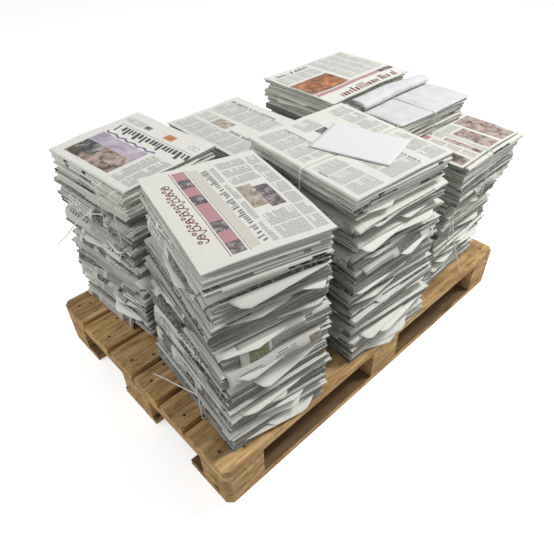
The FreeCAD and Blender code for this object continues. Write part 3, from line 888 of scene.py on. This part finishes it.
class FrontPage:
    """The top page of a stack, in the stack's own axes, measured from the page's middle."""

    def __init__(self, place, width, length, fold, lifts, seed, pressed=()):
        self.place = place
        self.half_w = width / 2
        self.half_l = length / 2
        self.fold = fold
        self.lifts = lifts
        self.hand = random.Random(seed)
        self.phases = [self.hand.uniform(0, 2 * math.pi) for wave in range(4)]
        self.pressed = pressed
        self.points = []
        self.faces = []
        self.inks = []

    def from_string(self, x, y):
        """Distance to the nearest string over the page."""
        at = self.place @ Vector((x, y, 0))
        gaps = [1.0]
        for spot, run in self.pressed:
            gaps.append(abs((at.x - spot.x) * run.y - (at.y - spot.y) * run.x))
        return min(gaps)

    def height(self, x, y):
        rise = 0.0006 * math.sin(25 * x + self.phases[0])
        rise = rise + 0.0006 * math.sin(21 * y + self.phases[1])
        rise = rise + 0.0004 * math.sin(47 * (x + 0.7 * y) + self.phases[2])
        rise = rise + 0.0003 * math.sin(66 * (0.6 * x - y) + self.phases[3])
        for (side_x, side_y), lift in zip(CORNERS, self.lifts):
            gap = math.hypot(x - side_x * self.half_w, y - side_y * self.half_l)
            rise = rise + lift * math.exp(-(gap / 0.075) ** 2)
        across, sign = self.fold
        reach = self.half_w - sign * x if across == "x" else self.half_l - sign * y
        if reach < TOP_SHEET:
            rise = rise - TOP_SHEET + math.sqrt(TOP_SHEET ** 2 - (TOP_SHEET - reach) ** 2)
        press = math.exp(-(self.from_string(x, y) / STRING_PRESS) ** 2)
        return rise - STRING_DIP * press

    def on_page(self, x, y, lift):
        return self.place @ Vector((x, y, self.height(x, y) + lift))

    def cuts(self, half, along):
        """Places of the grid's lines across the page, closer at the fold and at strings."""
        count = round(2 * half / GRID_CELL)
        places = [-half + 2 * half * number / count for number in range(count + 1)]
        across, sign = self.fold
        if across == along:
            places.extend(sign * (half - TOP_SHEET * share) for share in (0.05, 0.2, 0.5, 0.9))
        for spot, run in self.pressed:
            local = self.place.inverted() @ Vector((spot.x, spot.y, 0))
            turned_run = self.place.inverted().to_3x3() @ Vector((run.x, run.y, 0))
            crosses = abs(turned_run.y) > 0.5 if along == "x" else abs(turned_run.x) > 0.5
            if crosses:
                middle = local.x if along == "x" else local.y
                places.extend(middle + 0.0022 * step for step in range(-7, 8))
        return sorted(set(round(place, 5) for place in places if abs(place) <= half + 1e-6))

    def lay_sheet(self, pile, tone):
        xs = self.cuts(self.half_w, "x")
        ys = self.cuts(self.half_l, "y")
        # One draw for each line of the grid comes before the draws for the tones.
        for line in xs:
            self.hand.random()
        rows = [pile.ring([self.on_page(x, y, 0.0) for x in xs], 0.0) for y in ys]
        for low, high in zip(rows, rows[1:]):
            for number in range(len(xs) - 1):
                face = (low[number], low[number + 1], high[number + 1], high[number])
                pile.face(face, shaded(tone, self.hand.uniform(0.985, 1.015)), 0.0)
        border = rows[0] + [row[-1] for row in rows[1:-1]]
        border = border + rows[-1][::-1] + [row[0] for row in rows[-2:0:-1]]
        for depth, edge_height in ((0.0006, 0.0006), (TOP_SHEET, TOP_SHEET)):
            below = [pile.points[number] - Vector((0, 0, depth * self.hand.uniform(0.8, 1.0)))
                     for number in border]
            low = pile.ring(below, edge_height)
            pile.band(low, border, [tone] * len(border), [0.6] * len(border))
            border = low

    def print_shape(self, corners, name):
        first = len(self.points)
        middle_x = sum(corner[0] for corner in corners) / len(corners)
        middle_y = sum(corner[1] for corner in corners) / len(corners)
        if self.from_string(middle_x, middle_y) < STRING_ROOM:
            return
        self.points.extend(self.on_page(x, y, INK_LIFT) for x, y in corners)
        self.faces.append(tuple(range(first, first + len(corners))))
        self.inks.append(list(INKS).index(name))

    def field(self, x0, x1, y0, y1, name):
        """An even field of one ink or picture, cut small enough to lie on the page."""
        across = max(1, math.ceil((x1 - x0) / FIELD_CELL))
        along = max(1, math.ceil((y1 - y0) / FIELD_CELL))
        for i in range(across):
            for j in range(along):
                low_x = x0 + (x1 - x0) * i / across
                high_x = x0 + (x1 - x0) * (i + 1) / across
                low_y = y0 + (y1 - y0) * j / along
                high_y = y0 + (y1 - y0) * (j + 1) / along
                self.print_shape([(low_x, low_y), (high_x, low_y), (high_x, high_y),
                                  (low_x, high_y)], name)

    def frame_lines(self, x0, x1, y0, y1, width, name):
        self.field(x0, x1, y0, y0 + width, name)
        self.field(x0, x1, y1 - width, y1, name)
        self.field(x0, x0 + width, y0, y1, name)
        self.field(x1 - width, x1, y0, y1, name)

    def column(self, x0, x1, y0, y1, name, lines_along):
        """A column of text, drawn as lines of short bars of uneven length."""
        low, high, start, end = (x0, x1, y0, y1) if lines_along == "y" else (y0, y1, x0, x1)
        line = low + TEXT_PITCH
        while line < high - TEXT_HEIGHT:
            at = start
            stop = end - (end - start) * (0.0 if self.hand.random() < 0.85 else 0.5)
            while at < stop - SHORTEST_WORD:
                word = min(self.hand.uniform(0.004, 0.011), stop - at)
                bar = [(line, at), (line + TEXT_HEIGHT, at), (line + TEXT_HEIGHT, at + word),
                       (line, at + word)]
                if lines_along == "x":
                    bar = [(along, up) for up, along in reversed(bar)]
                self.print_shape(bar, name)
                at = at + word + WORD_SPACE
            line = line + TEXT_PITCH

    def columns(self, x0, x1, y0, y1, count, name="faint", lines_along="y", gutter=0.005):
        low, high = (y0, y1) if lines_along == "y" else (x0, x1)
        step = (high - low) / count
        for number in range(count):
            start = low + step * number
            end = low + step * (number + 1) - gutter
            if lines_along == "y":
                self.column(x0, x1, start, end, name, "y")
            else:
                self.column(start, end, y0, y1, name, "x")

    def strokes(self, x, y, run, size, name, along, slant=0.25):
        """A headline, drawn as a row of upright strokes with no letter in it."""
        at = 0.0
        while at < run:
            wide = size * self.hand.uniform(0.14, 0.34)
            tall = size * self.hand.choice((0.62, 0.66, 1.0))
            lean = slant * tall
            corners = [(at, 0), (at + wide, 0), (at + wide + lean, tall), (at + lean, tall)]
            if along == "y":
                corners = [(x + up, y + out) for out, up in corners]
            elif along == "-y":
                corners = [(x - up, y - out) for out, up in corners]
            else:
                corners = [(x + out, y + up) for out, up in corners]
            self.print_shape(corners, name)
            gap = 0.45 if self.hand.random() < 0.16 else self.hand.uniform(0.10, 0.20)
            at = at + wide + size * gap

    def scroll(self, x, y0, y1, size, name):
        """A running scroll along Y: rings joined by a waved line that swells and thins."""
        rings = round((y1 - y0) / (size * 0.85))
        step = (y1 - y0) / rings
        pieces = rings * 12
        swell = [self.hand.uniform(0.55, 1.2) for ring in range(rings + 1)]
        for number in range(pieces):
            ends = []
            for share in (number / pieces, (number + 1) / pieces):
                bow = size * 0.40 * swell[int(share * rings)]
                bow = bow * math.sin(2 * math.pi * share * rings)
                thick = size * (0.05 + 0.05 * math.cos(2 * math.pi * share * rings) ** 2)
                y = y0 + (y1 - y0) * share
                ends.append(((x + bow - thick, y), (x + bow + thick, y)))
            self.print_shape([ends[0][0], ends[0][1], ends[1][1], ends[1][0]], name)
        for number in range(rings):
            middle = y0 + step * (number + 0.75)
            self.ringlet(x + size * 0.06, middle, size * 0.16 * swell[number], size * 0.08, name)
            self.ringlet(x - size * 0.26, middle - step * 0.5, size * 0.06, size * 0.09, name)

    def wavy_band(self, x, y0, y1, size, name):
        steps = max(4, round((y1 - y0) / 0.006))
        for number in range(steps):
            start = y0 + (y1 - y0) * number / steps
            end = y0 + (y1 - y0) * (number + 1) / steps
            bow_start = size * math.sin(start * 150)
            bow_end = size * math.sin(end * 150)
            self.print_shape([(x + bow_start - size, start), (x + bow_start + size, start),
                              (x + bow_end + size, end), (x + bow_end - size, end)], name)

    def ringlet(self, x, y, radius, width, name):
        for number in range(RINGLET_SIDES):
            a = 2 * math.pi * number / RINGLET_SIDES
            b = 2 * math.pi * (number + 1) / RINGLET_SIDES
            corners = [(x + (radius + out) * math.cos(turn), y + (radius + out) * math.sin(turn))
                       for turn, out in ((a, 0), (a, width), (b, width), (b, 0))]
            self.print_shape(corners, name)

    def printed(self, name):
        mesh = bpy.data.meshes.new(name)
        mesh.from_pydata(self.points, [], self.faces)
        for material in INKS.values():
            mesh.materials.append(material)
        mesh.polygons.foreach_set("material_index", self.inks)
        mesh.update()
        piece = new_piece(name, mesh)


def string_over(stack, tied, at, along_y):
    """A point and the direction of a string that is tied over a stack's top."""
    low = min(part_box(node)[0].z for node in tied)
    high = max(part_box(node)[1].z for node in tied)
    x, y, turn = stack_pose(stack, (low + high) / 2)
    turn = math.radians(turn + (90.0 if along_y else 0.0))
    spot = Vector((x - at * math.sin(turn), y + at * math.cos(turn), 0))
    return spot, Vector((math.cos(turn), math.sin(turn), 0))


PAGE_FOLDS = {"near": ("x", 1), "left": ("x", -1), "middle_back": ("x", 1),
              "middle_front": ("x", -1), "far_back": ("y", 1), "far_front": ("x", 1)}
CORNERS = ((-1, 1), (-1, -1), (1, -1), (1, 1))
CORNER_LIFTS = {
    "near": (0.002, -0.004, -0.003, -0.002),
    "left": (-0.005, -0.004, 0.002, 0.001),
    "middle_back": (0.001, -0.002, 0.0, 0.002),
    "middle_front": (0.001, -0.003, -0.002, 0.002),
    "far_back": (0.002, -0.002, -0.003, 0.001),
    "far_front": (0.001, -0.002, -0.004, 0.001),
}
PRESSED = {
    "middle_front": [string_over(STACKS["middle_front"],
                                 ("middle_front_stack_upper_bundle",
                                  "middle_front_stack_top_newspaper"), -0.010, False)],
    "far_front": [string_over(STACKS["far_front"],
                              ("far_front_stack_upper_bundle",
                               "far_front_stack_top_newspaper"), 0.012, True)],
}

pages = {}
for number, name in enumerate(STACKS):
    stack = STACKS[name]
    hand = random.Random(TOP_PAPER_SEED + number)
    width, length = stack["size"]
    wide = width > length
    top_z = DECK_HEIGHT + stack["height"]
    x, y, turn = stack_pose(stack, top_z - TOP_THICKNESS)
    pile = Pile()
    thickness = (TOP_THICKNESS - TOP_SHEET) / TOP_PAPERS
    fold_side = 0 if PAGE_FOLDS[name][1] > 0 else 2
    flat = Seam(hand, 0.0, 0.0)
    batch = Batch(hand, TOP_PAPERS, flat, flat, 0.001)
    for paper in range(TOP_PAPERS):
        place = lying(x + hand.uniform(-0.001, 0.001), y + hand.uniform(-0.001, 0.001),
                      top_z - TOP_THICKNESS + paper * thickness, turn, wide)
        size = (min(width, length) - hand.uniform(0.001, 0.006),
                max(width, length) - hand.uniform(0.001, 0.006))
        lay_paper(pile, hand, place, size, thickness * 0.85, fold_side, 0.05, batch, 1.0, 0.1)
    pages[name] = FrontPage(lying(x, y, top_z, turn, False), width, length,
                            PAGE_FOLDS[name], CORNER_LIFTS[name], PAGE_SEED + number,
                            PRESSED.get(name, ()))
    pages[name].lay_sheet(pile, WHITE_PAGE)
    piece = pile.piece(name + "_top_paper", newsprint)
    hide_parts(name + "_stack_top_newspaper")

page = pages["near"]
page.scroll(-0.104, -0.112, 0.128, 0.036, "red")
page.field(-0.0795, -0.078, -0.172, 0.172, "red")
bands = ("street", "pink", "street", "pink", "pink", "street", "pink", "street", "pink")
for number, name in enumerate(bands):
    start = -0.168 + 0.338 * number / len(bands)
    page.field(-0.074, -0.043, start, start + 0.338 / len(bands), name)
page.field(-0.038, -0.0368, -0.172, 0.172, "text")
page.field(-0.034, -0.013, -0.166, 0.166, "tint")
page.strokes(0.007, 0.152, 0.312, 0.018, "text", "-y", 0.3)
page.columns(0.010, 0.026, -0.170, 0.166, 4, "fine", gutter=0.012)
page.field(0.031, 0.067, -0.050, 0.046, "sand")
page.field(0.067, 0.101, -0.064, 0.030, "street")
page.columns(0.031, 0.103, 0.058, 0.172, 3, "fine")
page.columns(0.031, 0.103, -0.172, -0.072, 2, "fine")
page.columns(0.106, 0.140, -0.172, 0.172, 7, "fine")
page.printed("near_page_print")

page = pages["left"]
page.field(-0.122, -0.094, -0.068, 0.132, "dusk")
page.field(-0.094, -0.070, -0.068, 0.040, "meadow")
page.field(-0.094, -0.070, 0.040, 0.132, "harbour")
page.field(-0.070, -0.046, -0.068, 0.060, "meadow")
page.field(-0.070, -0.046, 0.060, 0.132, "harbour")
page.field(-0.046, -0.020, -0.068, 0.132, "evening")
page.field(-0.020, 0.004, -0.068, 0.132, "evening")
page.wavy_band(0.013, -0.080, 0.132, 0.0035, "violet")
page.field(0.071, 0.0725, -0.160, 0.140, "text")
page.strokes(0.064, 0.134, 0.290, 0.036, "black", "-y", 0.3)
page.field(0.090, 0.108, 0.044, 0.070, "harbour")
page.field(0.086, 0.112, -0.056, -0.020, "orange")
page.field(0.092, 0.106, -0.048, -0.028, "amber")
page.ringlet(0.098, -0.128, 0.008, 0.002, "faint")
page.ringlet(0.098, -0.146, 0.008, 0.002, "faint")
page.columns(0.084, 0.112, 0.078, 0.160, 2)
page.columns(-0.128, 0.006, -0.162, -0.078, 2, "fine")
page.printed("left_page_print")

page = pages["middle_back"]
page.strokes(0.108, 0.160, 0.200, 0.016, "text", "-y")
page.columns(0.012, 0.098, -0.172, 0.172, 7)
page.field(-0.046, -0.002, 0.020, 0.092, "sand")
page.columns(-0.046, 0.000, 0.100, 0.172, 2)
page.columns(-0.132, -0.056, -0.172, 0.172, 7)
page.strokes(-0.040, 0.000, 0.160, 0.020, "text", "-y")
page.printed("middle_back_page_print")

page = pages["middle_front"]
page.columns(-0.152, -0.070, -0.180, 0.180, 7)
page.strokes(-0.062, 0.170, 0.150, 0.010, "text", "-y")
page.columns(-0.040, 0.026, 0.116, 0.180, 1)
page.field(-0.014, 0.022, 0.080, 0.110, "street")
page.columns(-0.046, 0.060, -0.180, 0.070, 5)
page.strokes(0.066, -0.030, 0.140, 0.014, "text", "-y")
page.columns(0.088, 0.154, -0.180, 0.180, 7)
page.field(-0.150, -0.146, -0.082, -0.052, "text")
page.printed("middle_front_page_print")

page = pages["far_back"]
page.strokes(-0.166, 0.112, 0.150, 0.020, "text", "x")
page.field(-0.182, -0.020, -0.062, 0.032, "amber")
page.frame_lines(-0.186, -0.016, -0.066, 0.036, 0.006, "dusk")
page.columns(-0.182, -0.010, 0.046, 0.104, 4, "faint", "x")
page.columns(0.002, 0.182, -0.058, 0.138, 4, "faint", "x")
page.field(-0.186, 0.110, -0.088, -0.072, "pink")
page.field(0.112, 0.184, -0.092, -0.070, "street")
page.strokes(-0.130, -0.138, 0.270, 0.034, "red", "x")
page.printed("far_back_page_print")

page = pages["far_front"]
page.field(0.066, 0.146, -0.176, -0.020, "market")
page.field(-0.052, 0.052, -0.176, -0.060, "market")
page.field(-0.144, -0.100, -0.176, -0.104, "dusk")
page.columns(-0.090, -0.060, -0.176, -0.030, 3)
page.columns(-0.144, -0.100, -0.096, -0.030, 2)
page.columns(-0.050, 0.052, -0.050, 0.020, 2)
page.field(-0.150, -0.060, -0.026, 0.020, "pink")
page.columns(-0.144, 0.146, 0.030, 0.172, 3)
page.printed("far_front_page_print")


# Small bundle. Newspapers folded once more to half size and tied, with a plain white paper
# round them whose far side has rolled up over the top.
SMALL_LENGTH = 0.312
SMALL_WIDTH = 0.200
SMALL_LAYER = 0.0116
SMALL_LAYERS = 5
SMALL_PLACE = (0.002, 0.104, -3.0)
SMALL_TIE = 0.008
SMALL_SEED = 400
COVER_THICKNESS = 0.009
COVER_SECTIONS = ((-0.157, 0.200, 0.074, 0.026), (0.0, 0.208, 0.066, 0.030),
                  (0.168, 0.202, 0.052, 0.020))
COVER_SHEET = 0.0006
ROLL_START = -90.0
ROLL_END = 1130.0
ROLL_STEPS = 90
COVER_STATIONS = 26
WHITE_COVER = (0.72, 0.72, 0.725)
COVER_SHADE = (0.64, 0.64, 0.65)

small_x = CELL_X + SMALL_PLACE[0]
small_y = -CELL_Y + SMALL_PLACE[1]
small_turn = SMALL_PLACE[2]
small_z = DECK_HEIGHT + STACKS["far_front"]["height"]
leaf = random.Random(FIRST_LEAF_SEED + len(STACKS))
hand = random.Random(SMALL_SEED)
flat = Seam(hand, 0.0, 0.0)
batch = Batch(hand, SMALL_LAYERS * TOP_PAPERS_PER_LAYER, flat, flat, 0.002)
pile = Pile()
for layer in range(SMALL_LAYERS):
    trim = leaf.choice(LAYER_TRIMS)
    x = small_x + leaf.uniform(-LAYER_SHIFT, LAYER_SHIFT)
    y = small_y + leaf.uniform(-LAYER_SHIFT, LAYER_SHIFT)
    turn = small_turn + leaf.uniform(-LAYER_TURN, LAYER_TURN)
    for part in range(TOP_PAPERS_PER_LAYER):
        thickness = SMALL_LAYER / TOP_PAPERS_PER_LAYER
        place = lying(x, y, small_z + layer * SMALL_LAYER + part * thickness,
                      turn + hand.uniform(-1.2, 1.2), True)
        size = (SMALL_WIDTH - trim - hand.uniform(0, 0.010),
                SMALL_LENGTH - trim - hand.uniform(0, 0.010))
        lay_paper(pile, hand, place, size, thickness * 0.85, 2 if layer % 2 == 0 else 0,
                  hand.uniform(0.0, 0.15), batch, 1.0, 0.1)
piece = pile.piece("small_bundle_papers", newsprint)
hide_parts("small_bundle")

cover_z = small_z + SMALL_LAYERS * SMALL_LAYER
white_cover, tree, shader, fibre = noise_material(
    "white_cover", 0.6, EVEN, 22.0, ((0.3, COVER_SHADE), (0.6, WHITE_COVER)), Detail=3.0)
bump_from(tree, fibre, 0.006, shader, 0.9)


def cover_shape(x):
    """Width, roll width and roll height of the cover at a place along the bundle."""
    before = COVER_SECTIONS[0] if x < COVER_SECTIONS[1][0] else COVER_SECTIONS[1]
    after = COVER_SECTIONS[1] if x < COVER_SECTIONS[1][0] else COVER_SECTIONS[2]
    share = (x - before[0]) / (after[0] - before[0])
    return [low + (high - low) * share for low, high in zip(before[1:], after[1:])]


def cover_line(x):
    """The rolled sheet's line from its front edge to the end inside the roll."""
    width, roll_width, roll_height = cover_shape(x)
    half = width / 2
    middle_y = half - roll_width / 2
    middle_z = (COVER_THICKNESS + roll_height) / 2
    crease = 0.0012 * math.sin(38 * x) + 0.0008 * math.sin(91 * x + 1)
    line = []
    for step in range(10):
        share = step / 10
        y = -half + (middle_y + half) * share
        z = COVER_THICKNESS + crease * math.sin(math.pi * share)
        z = z - STRING_DIP * math.exp(-((x + SMALL_TIE) / STRING_PRESS) ** 2)
        line.append((y, z * (1 - share ** 4) + 0.0006 * share ** 4))
    for step in range(ROLL_STEPS):
        angle = math.radians(ROLL_START + (ROLL_END - ROLL_START) * step / (ROLL_STEPS - 1))
        turns = (angle - math.radians(ROLL_START)) / (2 * math.pi)
        size = 1.0 - 0.24 * turns + 0.03 * math.sin(27 * x + 4 * turns)
        line.append((middle_y + roll_width / 2 * size * math.cos(angle),
                     middle_z + (middle_z - 0.0005) * size * math.sin(angle)))
    return line


def thin_sheet(name, points, width, material, thickness, offset):
    """A sheet of paper over rows of points, with width points in each row."""
    faces = []
    for row in range(len(points) // width - 1):
        for at in range(width - 1):
            start = row * width + at
            faces.append((start, start + width, start + width + 1, start + 1))
    mesh = bpy.data.meshes.new(name)
    mesh.from_pydata(points, [], faces)
    mesh.materials.append(material)
    mesh.polygons.foreach_set("use_smooth", [True] * len(faces))
    piece = new_piece(name, mesh)
    sheet = piece.modifiers.new("paper_thickness", "SOLIDIFY")
    sheet.thickness = thickness
    sheet.offset = offset
    return piece


first_x = COVER_SECTIONS[0][0]
last_x = COVER_SECTIONS[-1][0]
place = lying(small_x, small_y, cover_z, small_turn, False)
points = []
for station in range(COVER_STATIONS + 1):
    x = first_x + (last_x - first_x) * station / COVER_STATIONS
    line = cover_line(x)
    points.extend(place @ Vector((x, y, z)) for y, z in line)
roll = thin_sheet("small_bundle_rolled_cover", points, len(line), white_cover, COVER_SHEET, 0)

pile = Pile()
for part in range(2):
    thickness = (COVER_THICKNESS - 0.0036) / 2
    place = lying(small_x + 0.003, small_y - 0.006, cover_z + part * thickness,
                  small_turn + hand.uniform(-0.6, 0.6), True)
    lay_paper(pile, hand, place, (SMALL_WIDTH - 0.014, SMALL_LENGTH + 0.006 * part), thickness,
              2, 0.05, batch, 1.0, 0.0)
under = pile.piece("small_bundle_cover_papers", newsprint)
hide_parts("small_bundle_cover")


# Blank sheet. One loose sheet of plain white paper, laid on the middle front stack, a
# little bowed along its length.
SHEET_LENGTH = 0.210
SHEET_WIDTH = 0.148
SHEET_PLACE = (0.019, -0.021, -74.0)
SHEET_THICKNESS = 0.0003
SHEET_ACROSS = 14
SHEET_ALONG = 18
WHITE_PAPER = ((0.3, (0.76, 0.76, 0.77)), (0.7, (0.82, 0.82, 0.83)))
stack = STACKS["middle_front"]
top_z = DECK_HEIGHT + stack["height"]
x, y, turn = stack_pose(stack, top_z)
place = lying(x + SHEET_PLACE[0], y + SHEET_PLACE[1], top_z, SHEET_PLACE[2], False)
points = []
for i in range(SHEET_ALONG + 1):
    for j in range(SHEET_ACROSS + 1):
        u = i / SHEET_ALONG - 0.5
        v = j / SHEET_ACROSS - 0.5
        rise = 0.0012 + 0.006 * u * u * (0.6 + v) + 0.0035 * (v * v) * (1 + u)
        points.append(place @ Vector((u * SHEET_LENGTH, v * SHEET_WIDTH, rise)))
plain, tree, shader, fibre = noise_material("plain_white_paper", 0.65, EVEN, 900.0,
                                            WHITE_PAPER, Detail=3.0)
bump_from(tree, fibre, 0.0001, shader, 0.4)
blank = thin_sheet("loose_white_sheet", points, SHEET_ACROSS + 1, plain, SHEET_THICKNESS, 1)
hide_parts("blank_sheet")


# Floor and light. A plain white floor, a soft white surround, one broad lamp high on the
# right and a weaker one from the left.
FLOOR_SIZE = 40.0
FLOOR_GLOW = 0.58
ROOM_LIGHT = 0.38
floor_mesh = bpy.data.meshes.new("floor")
half = FLOOR_SIZE / 2
floor_mesh.from_pydata([(-half, -half, 0), (half, -half, 0), (half, half, 0), (-half, half, 0)],
                       [], [(0, 1, 2, 3)])
floor = bpy.data.objects.new("floor", floor_mesh)
bpy.context.scene.collection.objects.link(floor)
pale, tree, shader = new_material("pale_floor", 0.9, 0.1)
rays = add_node(tree, "ShaderNodeLightPath", {})
glow = map_of(tree, rays.outputs["Is Camera Ray"], {"To Max": FLOOR_GLOW})
feed(tree, shader, {"Base Color": (0.86, 0.86, 0.86, 1.0), "Emission Color": opaque(1.0),
                    "Emission Strength": glow})
floor_mesh.materials.append(pale)

world = bpy.data.worlds.new("studio")
bpy.context.scene.world = world
world.use_nodes = True
tree = world.node_tree
rays = add_node(tree, "ShaderNodeLightPath", {})
strength = map_of(tree, rays.outputs["Is Camera Ray"], {"To Min": ROOM_LIGHT, "To Max": 1.0})
feed(tree, tree.nodes["Background"], {"Color": opaque(1.0), "Strength": strength})


def soft_lamp(name, place, aim, size, power):
    lamp = bpy.data.lights.new(name, "AREA")
    lamp.shape = "SQUARE"
    lamp.size = size
    lamp.energy = power
    holder = bpy.data.objects.new(name, lamp)
    bpy.context.scene.collection.objects.link(holder)
    holder.location = place
    holder.rotation_euler = (Vector(aim) - Vector(place)).to_track_quat("-Z", "Y").to_euler()


soft_lamp("key_lamp", (1.9, -1.1, 3.1), (0.0, 0.0, 0.3), 0.8, 88.0)
soft_lamp("fill_lamp", (-2.2, 1.5, 1.4), (0.0, 0.0, 0.3), 1.6, 24.0)

bpy.context.scene.view_settings.view_transform = "Standard"
